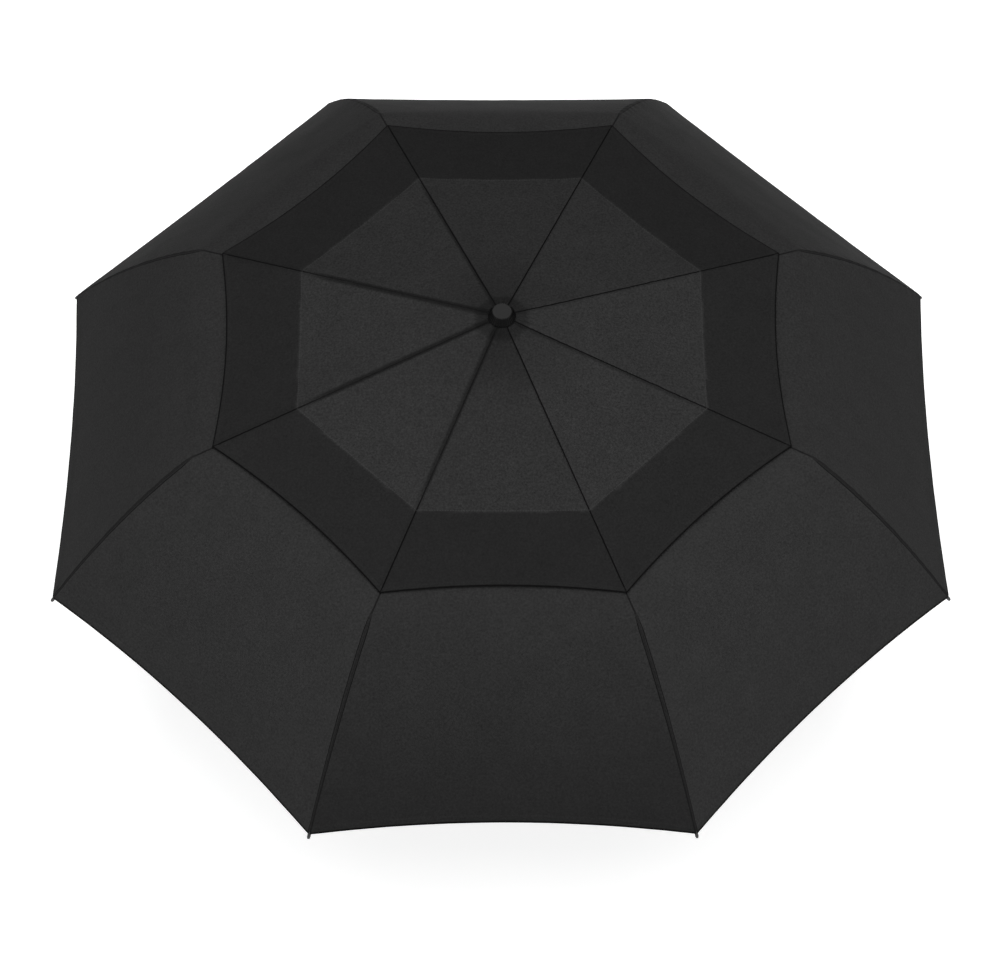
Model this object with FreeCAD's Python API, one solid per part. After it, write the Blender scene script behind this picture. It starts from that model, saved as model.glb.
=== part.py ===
import FreeCAD, Part
import math
import os

# Three-fold umbrella with eight ribs, a telescopic shaft and a vented double canopy, modelled open.
# Millimetres. +Z runs up the shaft and the origin is the centre of the handle's bottom face.
# A spoke is built in the XZ plane, where x is the radius, and is then turned to its azimuth.

# ---- layout
RIB_COUNT = 8
SPOKE_PITCH = 360.0 / RIB_COUNT
FIRST_SPOKE = SPOKE_PITCH / 2
GORE_HALF_ANGLE = math.radians(SPOKE_PITCH / 2)
HANDLE_LENGTH = 75.0
COLLAPSED_REACH = 235.0  # handle top to rib hinges with both tubes pushed in
TUBE_STROKE = 160.0
HINGE_Z = HANDLE_LENGTH + COLLAPSED_REACH + 2 * TUBE_STROKE
HINGE_R = 12.0

# ---- spoke, measured along the open rib line from its hinge in the crown
RIB_SLOPE = 10.26  # degrees that the open rib line drops
TOP_RIB_LENGTH = 165.0
MIDDLE_RIB_LENGTH = 175.9
STRETCHER_REACH = 88.0  # crown hinge to stretcher rivet
STRETCHER_DROP = 0.5
STRETCHER_LENGTH = 93.5
FIRST_KNUCKLE_RISE = 2.8
SECOND_KNUCKLE_DROP = 3.0
TIP_RADIUS = 520.0
TIP_DROP = 237.5  # crown hinge to rib tip, open
TAIL_SAGITTA = 8.5

# ---- rib sections
CHANNEL_WIDTH = 4.2
CHANNEL_HEIGHT = 4.0
CHANNEL_WALL = 0.5
MIDDLE_WIDTH = 3.8
MIDDLE_HEIGHT = 3.2
MIDDLE_WALL = 0.45
STRETCHER_WIDTH = 2.6
STRETCHER_HEIGHT = 2.4
TAIL_RADIUS = 1.1
PIN_CLEARANCE = 0.05
RIVET_RADIUS = 0.7
RIVET_HEAD_RADIUS = 1.4
RIVET_HEAD_DEPTH = 0.5
EYE_RADIUS = 1.8
FIRST_EYE_RADIUS = 1.4
SECOND_EYE_RADIUS = 1.5
TIP_BEAD_RADIUS = 1.9
TIP_BEAD_LENGTH = 9.0
TIP_BEAD_END = 2.5  # solid beyond the bore
TIP_BEAD_CHAMFER = 0.5
TIP_NOSE_RADIUS = 0.7

# ---- rib ends, measured from each one's pin
CROWN_EYE_RADIUS = 2.0
CROWN_TONGUE_LENGTH = 6.0
CROWN_TONGUE_HALF_WIDTH = 1.2
CROWN_TONGUE_HALF_HEIGHT = 1.4
TONGUE_OVERLAP = 6.0  # of a tongue inside its channel
FIRST_EAR_LENGTH = 10.0
FIRST_EAR_TOE = 0.6
FIRST_EAR_TOE_RISE = 0.5
FIRST_EAR_SHOULDER = 5.5
TOP_CHANNEL_SETBACK = 3.4
MIDDLE_CHANNEL_SETBACK = 3.5
MIDDLE_TONGUE_HALF_WIDTH = 1.35
MIDDLE_TONGUE_FLANK = 1.3
MIDDLE_TONGUE_FLANK_RISE = 0.7
SECOND_EAR_LENGTH = 7.0
TAIL_EYE_HALF_WIDTH = 1.2
INSET = 0.2  # keeps a filler's faces off its channel's faces
SLOT_PLAY = 0.2

# ---- canopy
FABRIC = 0.3
UPPER_LIFT = 4.8  # upper canopy's underside above the rib line
LOWER_LIFT = 2.4
APEX_HOLE = 9.6
UPPER_CORNER_R = 325.3
UPPER_EDGE_BOW = 8.5
LOWER_INNER_R = 224.0
LOWER_BEND_R = 349.5
HEM_CORNER_R = 519.9
HEM_CORNER_RISE = 3.85  # hem corner above the rib tip
HEM_BOW = 7.5
LOWER_SAGITTA = 10.5
GORE_BLANK_SCALE = 1.2

# ---- crown and cap
CROWN_RADIUS = 15.0
CROWN_BELOW = 4.0
CROWN_ABOVE = 3.5
CROWN_SLOT = 3.0
CROWN_SLOT_FLOOR = 9.0
WIRE_RADIUS = 0.75
WIRE_CLEARANCE = 0.15
CAP_BASE = 6.0  # above the rib hinges
CAP_BASE_RADIUS = 14.5
CAP_TOP_RADIUS = 9.7
CAP_HEIGHT = 9.3
CAP_RIM = 1.6
CAP_EDGE_WIDTH = 1.3
CAP_EDGE_DROP = 1.2
CAP_STEM_RADIUS = 8.4
CAP_TEETH = 36
CAP_GROOVE_DEPTH = 0.9
CAP_GROOVE_HALF_WIDTH = 0.55
TUBE_INTO_CAP = 10.0

# ---- tubes
LOWER_TUBE_R = 7.0
LOWER_TUBE_BORE = 6.4
MIDDLE_TUBE_R = 5.8
MIDDLE_TUBE_BORE = 5.2
TOP_TUBE_R = 4.75
TOP_TUBE_BORE = 4.2
LOWER_TUBE_BOTTOM = 24.0
LOWER_TUBE_TOP = 280.0
MIDDLE_TUBE_BOTTOM = 222.0
MIDDLE_TUBE_TOP = 452.0
TOP_TUBE_BOTTOM = 386.0
SLIDING_FIT = 0.06
BUSH_DEPTH = 14.0
BUSH_FLANGE = 1.5
STOP_LENGTH = 6.0
STOP_GAP = 0.1  # between a tube's stop ring and the bush above it, tubes pulled out
SPRING_OUTER_R = 3.5
SPRING_WALL = 0.12

# ---- runner
RUNNER_BORE = 7.25
RUNNER_SLEEVE_R = 9.5
RUNNER_RING_R = 15.0
RUNNER_RING_ABOVE = 5.0
RUNNER_RING_BELOW = 6.0
RUNNER_SLOT = 3.4
RUNNER_SLEEVE_BELOW = 42.0
RUNNER_NECK_ABOVE = 9.0
RUNNER_GRIP_R = 12.0
RUNNER_GRIP_LENGTH = 7.0
RUNNER_GRIP_EDGE = 1.0
RUNNER_GRIP_SLOPE = 1.5

# ---- handle
GRIP_RADIUS = 18.0
GRIP_TOP = 44.0
PLUG_RADIUS = 17.5
PLUG_HEIGHT = 10.0
SHELL_TOP = 68.0
SHELL_BORE = 15.8
SWELL_RADIUS = 19.0
SWELL_Z = 55.0
COLLAR_RADIUS = 16.5
SHELL_TOP_RADIUS = 17.2
EDGE = 1.5
STRAP_HOLE_R = 2.0
STRAP_HOLE_Y = 10.0
STRAP_HOLE_Z = 5.5
SOCKET_BOTTOM = 16.0
SOCKET_TOP = 34.0
COLLAR_SKIRT = 8.0
BUTTON_Z = 55.5
BUTTON_HALF_WIDTH = 4.0
BUTTON_HALF_HEIGHT = 6.0
BUTTON_FACE_Y = -21.5
BUTTON_BACK_Y = -13.5
BUTTON_GAP = 0.3
FLANGE_EXTRA = 1.4
FLANGE_DEPTH = 1.1
FLANGE_PLAY = 1.0
BUTTON_SPRING_R = 2.2
BUTTON_SPRING_WIRE = 0.5
BUTTON_SPRING_TURNS = 4
BUTTON_SPRING_Z = 57.0
LATCH_Z = 46.5
LATCH_THICKNESS = 1.5
LATCH_HALF_WIDTH = 2.0
LATCH_NOSE_Y = -5.0
LATCH_STEM_TOP = 53.5
LATCH_SIDE_PLAY = 0.5
LATCH_END_PLAY = 1.0

CUT_MARGIN = 1.0  # how far a cutting shape passes the shape it cuts

Z_AXIS = FreeCAD.Vector(0, 0, 1)
Y_AXIS = FreeCAD.Vector(0, 1, 0)
X_AXIS = FreeCAD.Vector(1, 0, 0)
ORIGIN = FreeCAD.Vector(0, 0, 0)


def point(x, z, y=0.0):
    return FreeCAD.Vector(x, y, z)


def save(shape, name):
    shape.exportStep(os.path.join("parts", name + ".step"))


# ---- small shapes
def slab(x0, x1, half_width, z0, z1):
    """Block centred on the XZ plane."""
    return Part.makeBox(x1 - x0, 2 * half_width, z1 - z0, point(x0, z0, -half_width))


def cross_pin(x, z, radius, half_width):
    """Cylinder along Y, centred on the XZ plane."""
    return Part.makeCylinder(radius, 2 * half_width, point(x, z, -half_width), Y_AXIS)


def plate(corners, half_width):
    """Flat plate with its outline in the XZ plane."""
    outline = Part.makePolygon([point(x, z, -half_width) for x, z in corners + corners[:1]])
    return Part.Face(outline).extrude(Y_AXIS * (2 * half_width))


def ring(outer, inner, z0, z1):
    """Round sleeve on the Z axis."""
    blank = Part.makeCylinder(outer, z1 - z0, point(0, z0))
    return blank.cut(Part.makeCylinder(inner, z1 - z0, point(0, z0)))


def turned(corners):
    """Solid of revolution about Z from (radius, z) corners."""
    outline = Part.makePolygon([point(r, z) for r, z in corners + corners[:1]])
    return Part.Face(outline).revolve(ORIGIN, Z_AXIS, 360)


def channel(x0, x1, width, height, wall):
    """Rib channel with its open side down, centred on the rib line."""
    blank = slab(x0, x1, width / 2, -height / 2, height / 2)
    return blank.cut(slab(x0, x1, width / 2 - wall, -height / 2, height / 2 - wall))


def rivet(x, z, radius, half_width):
    """Cross pin with a flat head on each side of a channel of this half width."""
    shape = cross_pin(x, z, radius, half_width + RIVET_HEAD_DEPTH)
    for side in (-1, 1):
        head = Part.makeCylinder(
            RIVET_HEAD_RADIUS, RIVET_HEAD_DEPTH, point(x, z, side * half_width), Y_AXIS * side
        )
        shape = shape.fuse(head)
    return shape


# ---- spoke geometry
def on_rib_line(x, z):
    """Radius and height of a point given along and above the open rib line."""
    slope = math.radians(RIB_SLOPE)
    radius = HINGE_R + x * math.cos(slope) + z * math.sin(slope)
    height = HINGE_Z - x * math.sin(slope) + z * math.cos(slope)
    return radius, height


def laid_on_rib_line(shape):
    """Move a shape drawn along x from the crown hinge onto the open rib line."""
    shape.rotate(ORIGIN, Y_AXIS, RIB_SLOPE)
    shape.translate(point(HINGE_R, HINGE_Z))
    return shape


def fabric_height(radius, lift):
    """Height, above a rib, of a fabric surface that is lift above the rib line."""
    slope = math.radians(RIB_SLOPE)
    return HINGE_Z - (radius - HINGE_R) * math.tan(slope) + lift / math.cos(slope)


FIRST_KNUCKLE = (TOP_RIB_LENGTH, FIRST_KNUCKLE_RISE)
SECOND_KNUCKLE = (TOP_RIB_LENGTH + MIDDLE_RIB_LENGTH, -SECOND_KNUCKLE_DROP)
STRETCHER_RIVET = (STRETCHER_REACH, -STRETCHER_DROP)


def stretcher_foot():
    """Radius and height of the stretcher's lower end, on the runner's hinge circle."""
    top_r, top_z = on_rib_line(*STRETCHER_RIVET)
    drop = math.sqrt(STRETCHER_LENGTH**2 - (top_r - HINGE_R) ** 2)
    return HINGE_R, top_z - drop


RUNNER_Z = stretcher_foot()[1]


def make_top_rib():
    tongue_end = CROWN_TONGUE_LENGTH + TONGUE_OVERLAP
    channel_end = TOP_RIB_LENGTH - TOP_CHANNEL_SETBACK
    half = CHANNEL_WIDTH / 2
    inner = half - CHANNEL_WALL
    roof = CHANNEL_HEIGHT / 2
    rib = channel(CROWN_TONGUE_LENGTH, channel_end, CHANNEL_WIDTH, CHANNEL_HEIGHT, CHANNEL_WALL)
    eye = cross_pin(0, 0, CROWN_EYE_RADIUS, CROWN_TONGUE_HALF_WIDTH)
    tongue = slab(
        0, tongue_end, CROWN_TONGUE_HALF_WIDTH, -CROWN_TONGUE_HALF_HEIGHT, CROWN_TONGUE_HALF_HEIGHT
    )
    filler = slab(CROWN_TONGUE_LENGTH, tongue_end, inner + INSET, INSET - roof, roof - INSET)
    rib = rib.fuse([eye, tongue, filler])
    rib = rib.cut(cross_pin(0, 0, WIRE_RADIUS + WIRE_CLEARANCE, half))
    knuckle_x, knuckle_z = FIRST_KNUCKLE
    ear_start = knuckle_x - FIRST_EAR_LENGTH
    ear_outline = [
        (ear_start, -roof),
        (knuckle_x + FIRST_EAR_TOE, -roof),
        (knuckle_x + SECOND_EYE_RADIUS, FIRST_EAR_TOE_RISE),
        (knuckle_x + SECOND_EYE_RADIUS, knuckle_z),
        (knuckle_x - SECOND_EYE_RADIUS, knuckle_z),
        (knuckle_x - FIRST_EAR_SHOULDER, roof),
        (ear_start, roof),
    ]
    ears = plate(ear_outline, half).fuse(cross_pin(knuckle_x, knuckle_z, SECOND_EYE_RADIUS, half))
    gap = slab(
        ear_start - CUT_MARGIN, knuckle_x + SECOND_EYE_RADIUS + CUT_MARGIN, inner,
        -roof - CUT_MARGIN, knuckle_z + SECOND_EYE_RADIUS + CUT_MARGIN,
    )
    rib = rib.fuse([ears.cut(gap), rivet(knuckle_x, knuckle_z, RIVET_RADIUS, half)])
    rib = rib.fuse(rivet(*STRETCHER_RIVET, RIVET_RADIUS, half))
    return laid_on_rib_line(rib.removeSplitter())


def make_middle_rib():
    first_x, first_z = FIRST_KNUCKLE
    last_x, last_z = SECOND_KNUCKLE
    half = MIDDLE_WIDTH / 2
    inner = half - MIDDLE_WALL
    roof = MIDDLE_HEIGHT / 2
    start = first_x + MIDDLE_CHANNEL_SETBACK
    tongue_end = start + TONGUE_OVERLAP
    rib = channel(start, last_x + SECOND_EYE_RADIUS, MIDDLE_WIDTH, MIDDLE_HEIGHT, MIDDLE_WALL)
    tongue_outline = [
        (first_x - MIDDLE_TONGUE_FLANK, first_z - MIDDLE_TONGUE_FLANK_RISE),
        (start, INSET - roof),
        (tongue_end, INSET - roof),
        (tongue_end, roof - INSET),
        (start, first_z + INSET),
        (first_x + MIDDLE_TONGUE_FLANK, first_z + MIDDLE_TONGUE_FLANK_RISE),
    ]
    tongue = plate(tongue_outline, MIDDLE_TONGUE_HALF_WIDTH)
    eye = cross_pin(first_x, first_z, FIRST_EYE_RADIUS, MIDDLE_TONGUE_HALF_WIDTH)
    filler = slab(start, tongue_end, inner + INSET, INSET - roof, roof - INSET)
    ear_start = last_x - SECOND_EAR_LENGTH
    ear_outline = [
        (ear_start, INSET - roof),
        (last_x + SECOND_EYE_RADIUS, INSET - roof),
        (last_x + SECOND_EYE_RADIUS, last_z),
        (last_x - SECOND_EYE_RADIUS, last_z),
        (ear_start, -roof),
    ]
    ears = plate(ear_outline, half).fuse(cross_pin(last_x, last_z, SECOND_EYE_RADIUS, half))
    gap = slab(
        ear_start - CUT_MARGIN, last_x + SECOND_EYE_RADIUS + CUT_MARGIN, inner,
        last_z - SECOND_EYE_RADIUS - CUT_MARGIN, roof,
    )
    rib = rib.fuse([eye, tongue, filler, ears.cut(gap)])
    rib = rib.cut(cross_pin(first_x, first_z, RIVET_RADIUS + PIN_CLEARANCE, half))
    rib = rib.fuse(rivet(last_x, last_z, RIVET_RADIUS, half))
    return laid_on_rib_line(rib.removeSplitter())


def make_stretcher():
    """Bar from its foot in the runner (at x = 0) to the rivet in the top rib."""
    half = STRETCHER_WIDTH / 2
    bar = slab(0, STRETCHER_LENGTH, half, -STRETCHER_HEIGHT / 2, STRETCHER_HEIGHT / 2)
    eyes = [cross_pin(x, 0, EYE_RADIUS, half) for x in (0, STRETCHER_LENGTH)]
    bar = bar.fuse(eyes)
    bar = bar.cut(cross_pin(STRETCHER_LENGTH, 0, RIVET_RADIUS + PIN_CLEARANCE, half))
    bar = bar.fuse(cross_pin(0, 0, RIVET_RADIUS, RUNNER_SLOT / 2 - SLOT_PLAY)).removeSplitter()
    foot_r, foot_z = stretcher_foot()
    top_r, top_z = on_rib_line(*STRETCHER_RIVET)
    rise = math.degrees(math.atan2(top_z - foot_z, top_r - foot_r))
    bar.rotate(ORIGIN, Y_AXIS, -rise)
    bar.translate(point(foot_r, foot_z))
    return bar


def tail_arc():
    """Centre (r, z), radius and end angles of the tail rib's arc, knuckle to tip."""
    x0, z0 = on_rib_line(*SECOND_KNUCKLE)
    x1, z1 = TIP_RADIUS, HINGE_Z - TIP_DROP
    chord = math.hypot(x1 - x0, z1 - z0)
    radius = chord**2 / (8 * TAIL_SAGITTA) + TAIL_SAGITTA / 2
    below = radius - TAIL_SAGITTA
    centre_x = (x0 + x1) / 2 + below * (z1 - z0) / chord
    centre_z = (z0 + z1) / 2 - below * (x1 - x0) / chord
    start = math.atan2(z0 - centre_z, x0 - centre_x)
    end = math.atan2(z1 - centre_z, x1 - centre_x)
    return centre_x, centre_z, radius, start, end


def make_tail_rib():
    centre_x, centre_z, radius, start, end = tail_arc()
    knuckle_x, knuckle_z = on_rib_line(*SECOND_KNUCKLE)
    section = Part.Face(Part.Wire(Part.makeCircle(TAIL_RADIUS, point(radius, 0), Z_AXIS)))
    rod = section.revolve(ORIGIN, Y_AXIS, math.degrees(start - end))
    rod.rotate(ORIGIN, Y_AXIS, -math.degrees(start))
    rod.translate(point(centre_x, centre_z))
    rod = rod.fuse(cross_pin(knuckle_x, knuckle_z, SECOND_EYE_RADIUS, TAIL_EYE_HALF_WIDTH))
    hole_half = TAIL_EYE_HALF_WIDTH + CUT_MARGIN
    return rod.cut(cross_pin(knuckle_x, knuckle_z, RIVET_RADIUS + PIN_CLEARANCE, hole_half))


def make_rib_tip():
    """Bead with a blind bore, pushed onto the end of the tail rib."""
    bore = TIP_BEAD_LENGTH - TIP_BEAD_END
    bore_radius = TAIL_RADIUS + PIN_CLEARANCE
    bead = turned([
        (bore_radius, 0),
        (TIP_BEAD_RADIUS - TIP_BEAD_CHAMFER, 0),
        (TIP_BEAD_RADIUS, TIP_BEAD_CHAMFER),
        (TIP_BEAD_RADIUS, bore),
        (TIP_BEAD_RADIUS - TIP_BEAD_CHAMFER, TIP_BEAD_LENGTH - TIP_BEAD_CHAMFER),
        (TIP_NOSE_RADIUS, TIP_BEAD_LENGTH),
        (0, TIP_BEAD_LENGTH),
        (0, bore),
        (bore_radius, bore),
    ])
    centre_x, centre_z, radius, _, end = tail_arc()
    bead.translate(point(0, -bore))
    bead.rotate(ORIGIN, Y_AXIS, 180 - math.degrees(end))
    bead.translate(point(centre_x + radius * math.cos(end), centre_z + radius * math.sin(end)))
    return bead


# ---- canopy
def edge_cutter(corner_r, bow):
    """Upright cylinder that bows a gore's straight outer edge inwards between two ribs."""
    half_chord = corner_r * math.sin(GORE_HALF_ANGLE)
    radius = (half_chord**2 + bow**2) / (2 * bow)
    centre_x = corner_r * math.cos(GORE_HALF_ANGLE) - bow + radius
    return Part.makeCylinder(radius, 2 * HINGE_Z, point(centre_x, 0))


def canopy_from(profile, corner_r, bow):
    """Eight gores from a closed profile drawn in the plane of a gore's middle."""
    reach = corner_r * GORE_BLANK_SCALE
    side = reach * math.tan(GORE_HALF_ANGLE)
    band = Part.Face(Part.Wire(profile)).extrude(Y_AXIS * (2 * side))
    band.translate(Y_AXIS * -side)
    corners = [point(0, 0), point(reach, 0, -side), point(reach, 0, side), point(0, 0)]
    wedge = Part.Face(Part.makePolygon(corners)).extrude(Z_AXIS * (2 * HINGE_Z))
    gore = band.common(wedge).cut(edge_cutter(corner_r, bow))
    gores = []
    for index in range(RIB_COUNT):
        copy = gore.copy()
        copy.rotate(ORIGIN, Z_AXIS, index * SPOKE_PITCH)
        gores.append(copy)
    return gores[0].fuse(gores[1:]).removeSplitter()


def make_upper_canopy():
    scale = math.cos(GORE_HALF_ANGLE)
    inner_r, outer_r = APEX_HOLE, UPPER_CORNER_R + CUT_MARGIN
    under = [(r, fabric_height(r, UPPER_LIFT)) for r in (inner_r, outer_r)]
    over = [(r, fabric_height(r, UPPER_LIFT + FABRIC)) for r in (outer_r, inner_r)]
    corners = [point(r * scale, z) for r, z in under + over]
    return canopy_from(Part.makePolygon(corners + corners[:1]), UPPER_CORNER_R, UPPER_EDGE_BOW)


def lower_path(lift):
    """Inner edge, bend, arc middle and hem of the lower canopy above a rib, as (r, z)."""
    bend = (LOWER_BEND_R, fabric_height(LOWER_BEND_R, LOWER_LIFT) + lift)
    hem = (HEM_CORNER_R, HINGE_Z - TIP_DROP + HEM_CORNER_RISE + lift)
    chord = math.hypot(hem[0] - bend[0], hem[1] - bend[1])
    middle = (
        (bend[0] + hem[0]) / 2 + LOWER_SAGITTA * (bend[1] - hem[1]) / chord,
        (bend[1] + hem[1]) / 2 + LOWER_SAGITTA * (hem[0] - bend[0]) / chord,
    )
    inner = (LOWER_INNER_R, fabric_height(LOWER_INNER_R, LOWER_LIFT) + lift)
    return inner, bend, middle, hem


def make_lower_canopy():
    scale = math.cos(GORE_HALF_ANGLE)
    edges = []
    ends = []
    for lift in (0.0, FABRIC):
        inner, bend, middle, hem = [point(r * scale, z) for r, z in lower_path(lift)]
        edges.append(Part.makeLine(inner, bend))
        edges.append(Part.Arc(bend, middle, hem).toShape())
        ends.append((inner, hem))
    (under_inner, under_hem), (over_inner, over_hem) = ends
    edges.append(Part.makeLine(under_inner, over_inner))
    edges.append(Part.makeLine(under_hem, over_hem))
    return canopy_from(Part.Wire(Part.sortEdges(edges)[0]), HEM_CORNER_R, HEM_BOW)


# ---- crown, wire and cap
def hinge_wire():
    return Part.makeTorus(HINGE_R, WIRE_RADIUS, point(0, HINGE_Z))


def radial_slots(shape, floor, rim, width, z0, z1):
    """Cut one slot per spoke, from the floor radius out through the rim."""
    for index in range(RIB_COUNT):
        slot = slab(floor, rim + CUT_MARGIN, width / 2, z0 - CUT_MARGIN, z1 + CUT_MARGIN)
        slot.rotate(ORIGIN, Z_AXIS, FIRST_SPOKE + index * SPOKE_PITCH)
        shape = shape.cut(slot)
    return shape


def make_notch_crown():
    bottom, top = HINGE_Z - CROWN_BELOW, HINGE_Z + CROWN_ABOVE
    crown = ring(CROWN_RADIUS, TOP_TUBE_R, bottom, top)
    crown = radial_slots(crown, CROWN_SLOT_FLOOR, CROWN_RADIUS, CROWN_SLOT, bottom, top)
    return crown.cut(hinge_wire())


def make_ferrule_cap():
    base = HINGE_Z + CAP_BASE
    crown_top = HINGE_Z + CROWN_ABOVE
    edge_radius = CAP_TOP_RADIUS + CAP_EDGE_WIDTH
    edge_height = CAP_HEIGHT - CAP_EDGE_DROP
    cap = turned([
        (0, crown_top),
        (CAP_STEM_RADIUS, crown_top),
        (CAP_STEM_RADIUS, base),
        (CAP_BASE_RADIUS, base),
        (CAP_BASE_RADIUS, base + CAP_RIM),
        (edge_radius, base + edge_height),
        (CAP_TOP_RADIUS, base + CAP_HEIGHT),
        (0, base + CAP_HEIGHT),
    ])
    cap = cap.cut(Part.makeCylinder(TOP_TUBE_R, TUBE_INTO_CAP - CROWN_ABOVE, point(0, crown_top)))
    lean = math.degrees(math.atan2(CAP_BASE_RADIUS - edge_radius, edge_height - CAP_RIM))
    for index in range(CAP_TEETH):
        groove = slab(
            0, CAP_GROOVE_DEPTH + 2 * CUT_MARGIN, CAP_GROOVE_HALF_WIDTH, -2 * CUT_MARGIN, 2 * CAP_HEIGHT
        )
        groove.rotate(ORIGIN, Y_AXIS, -lean)
        groove.translate(point(CAP_BASE_RADIUS - CAP_GROOVE_DEPTH, base + CAP_RIM))
        groove.rotate(ORIGIN, Z_AXIS, index * 360.0 / CAP_TEETH)
        cap = cap.cut(groove)
    return cap


# ---- shaft
def make_lower_tube():
    tube = ring(LOWER_TUBE_R, LOWER_TUBE_BORE, LOWER_TUBE_BOTTOM, LOWER_TUBE_TOP)
    half = LATCH_HALF_WIDTH + LATCH_SIDE_PLAY
    height = LATCH_THICKNESS + 2 * LATCH_END_PLAY
    front = LOWER_TUBE_R + CUT_MARGIN
    window = Part.makeBox(2 * half, front, height, point(-half, LATCH_Z - LATCH_END_PLAY, -front))
    return tube.cut(window)


def with_stop_ring(tube, bore, outer_bore, outer_tube_top):
    """Add the ring that meets the bush of the tube outside when this tube is pulled out."""
    top = outer_tube_top - BUSH_DEPTH - STOP_GAP
    stop = ring(outer_bore - SLIDING_FIT, bore, top - STOP_LENGTH, top)
    return tube.fuse(stop).removeSplitter()


def make_middle_tube():
    tube = ring(MIDDLE_TUBE_R, MIDDLE_TUBE_BORE, MIDDLE_TUBE_BOTTOM, MIDDLE_TUBE_TOP)
    return with_stop_ring(tube, MIDDLE_TUBE_BORE, LOWER_TUBE_BORE, LOWER_TUBE_TOP)


def make_top_tube():
    tube = ring(TOP_TUBE_R, TOP_TUBE_BORE, TOP_TUBE_BOTTOM, HINGE_Z + TUBE_INTO_CAP)
    return with_stop_ring(tube, TOP_TUBE_BORE, MIDDLE_TUBE_BORE, MIDDLE_TUBE_TOP)


def make_bush(outer, bore, flange, tube_top):
    """Guide bush: a sleeve down inside a tube's mouth and a flange on its rim."""
    sleeve = ring(outer, bore + SLIDING_FIT, tube_top - BUSH_DEPTH, tube_top)
    return sleeve.fuse(ring(flange, bore + SLIDING_FIT, tube_top, tube_top + BUSH_FLANGE))


def make_opening_spring():
    """Outer surface of the long coil that pushes the tubes apart."""
    inner = SPRING_OUTER_R - SPRING_WALL
    return ring(SPRING_OUTER_R, inner, LOWER_TUBE_BOTTOM, HINGE_Z + TUBE_INTO_CAP)


def make_runner():
    ring_bottom = RUNNER_Z - RUNNER_RING_BELOW
    ring_top = RUNNER_Z + RUNNER_RING_ABOVE
    sleeve_bottom = RUNNER_Z - RUNNER_SLEEVE_BELOW
    clevis = ring(RUNNER_RING_R, RUNNER_BORE, ring_bottom, ring_top)
    clevis = radial_slots(clevis, RUNNER_SLEEVE_R, RUNNER_RING_R, RUNNER_SLOT, ring_bottom, ring_top)
    sleeve = ring(RUNNER_SLEEVE_R, RUNNER_BORE, sleeve_bottom, RUNNER_Z + RUNNER_NECK_ABOVE)
    grip_top = sleeve_bottom + RUNNER_GRIP_LENGTH
    grip = turned([
        (RUNNER_BORE, sleeve_bottom),
        (RUNNER_GRIP_R - RUNNER_GRIP_EDGE, sleeve_bottom),
        (RUNNER_GRIP_R, sleeve_bottom + RUNNER_GRIP_EDGE),
        (RUNNER_GRIP_R, grip_top - RUNNER_GRIP_EDGE),
        (RUNNER_SLEEVE_R, grip_top + RUNNER_GRIP_SLOPE),
        (RUNNER_BORE, grip_top + RUNNER_GRIP_SLOPE),
    ])
    return clevis.fuse([sleeve, grip]).removeSplitter()


# ---- handle
def shell_blank():
    """Outside of the grip shell, filled."""
    lower = [point(0, PLUG_HEIGHT), point(GRIP_RADIUS, PLUG_HEIGHT), point(GRIP_RADIUS, GRIP_TOP)]
    upper = [point(SHELL_TOP_RADIUS, SHELL_TOP), point(0, SHELL_TOP), point(0, PLUG_HEIGHT)]
    swell = Part.Arc(lower[-1], point(SWELL_RADIUS, SWELL_Z), upper[0]).toShape()
    edges = Part.makePolygon(lower).Edges + [swell] + Part.makePolygon(upper).Edges
    return Part.Face(Part.Wire(Part.sortEdges(edges)[0])).revolve(ORIGIN, Z_AXIS, 360)


def stadium(half_width, half_height, y0, y1):
    """Round-ended block along Y at the button's height."""
    straight = half_height - half_width
    body = Part.makeBox(
        2 * half_width, y1 - y0, 2 * straight, point(-half_width, BUTTON_Z - straight, y0)
    )
    for side in (-1, 1):
        end = point(0, BUTTON_Z + side * straight, y0)
        body = body.fuse(Part.makeCylinder(half_width, y1 - y0, end, Y_AXIS))
    return body.removeSplitter()


def make_handle_shell():
    bore = Part.makeCylinder(SHELL_BORE, SHELL_TOP - PLUG_HEIGHT, point(0, PLUG_HEIGHT))
    window = stadium(
        BUTTON_HALF_WIDTH + BUTTON_GAP, BUTTON_HALF_HEIGHT + BUTTON_GAP, -SWELL_RADIUS - CUT_MARGIN, 0
    )
    return shell_blank().cut([bore, window])


def make_handle_plug():
    plug = turned([
        (0, 0),
        (PLUG_RADIUS - EDGE, 0),
        (PLUG_RADIUS, EDGE),
        (PLUG_RADIUS, PLUG_HEIGHT),
        (SHELL_BORE, PLUG_HEIGHT),
        (SHELL_BORE, SOCKET_BOTTOM),
        (0, SOCKET_BOTTOM),
    ])
    start = FreeCAD.Vector(-PLUG_RADIUS, STRAP_HOLE_Y, STRAP_HOLE_Z)
    return plug.cut(Part.makeCylinder(STRAP_HOLE_R, 2 * PLUG_RADIUS, start, X_AXIS))


def make_tube_socket():
    """Core that holds the lower tube and the foot of the opening spring."""
    core = Part.makeCylinder(SHELL_BORE, SOCKET_TOP - SOCKET_BOTTOM, point(0, SOCKET_BOTTOM))
    pocket = Part.makeCylinder(LOWER_TUBE_R, SOCKET_TOP, point(0, LOWER_TUBE_BOTTOM))
    return core.cut(pocket)


def make_handle_collar():
    return turned([
        (LOWER_TUBE_R, SHELL_TOP - COLLAR_SKIRT),
        (SHELL_BORE, SHELL_TOP - COLLAR_SKIRT),
        (SHELL_BORE, SHELL_TOP),
        (COLLAR_RADIUS, SHELL_TOP),
        (COLLAR_RADIUS, HANDLE_LENGTH - EDGE),
        (COLLAR_RADIUS - EDGE, HANDLE_LENGTH),
        (LOWER_TUBE_R, HANDLE_LENGTH),
    ]).cut(button_space())


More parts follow.
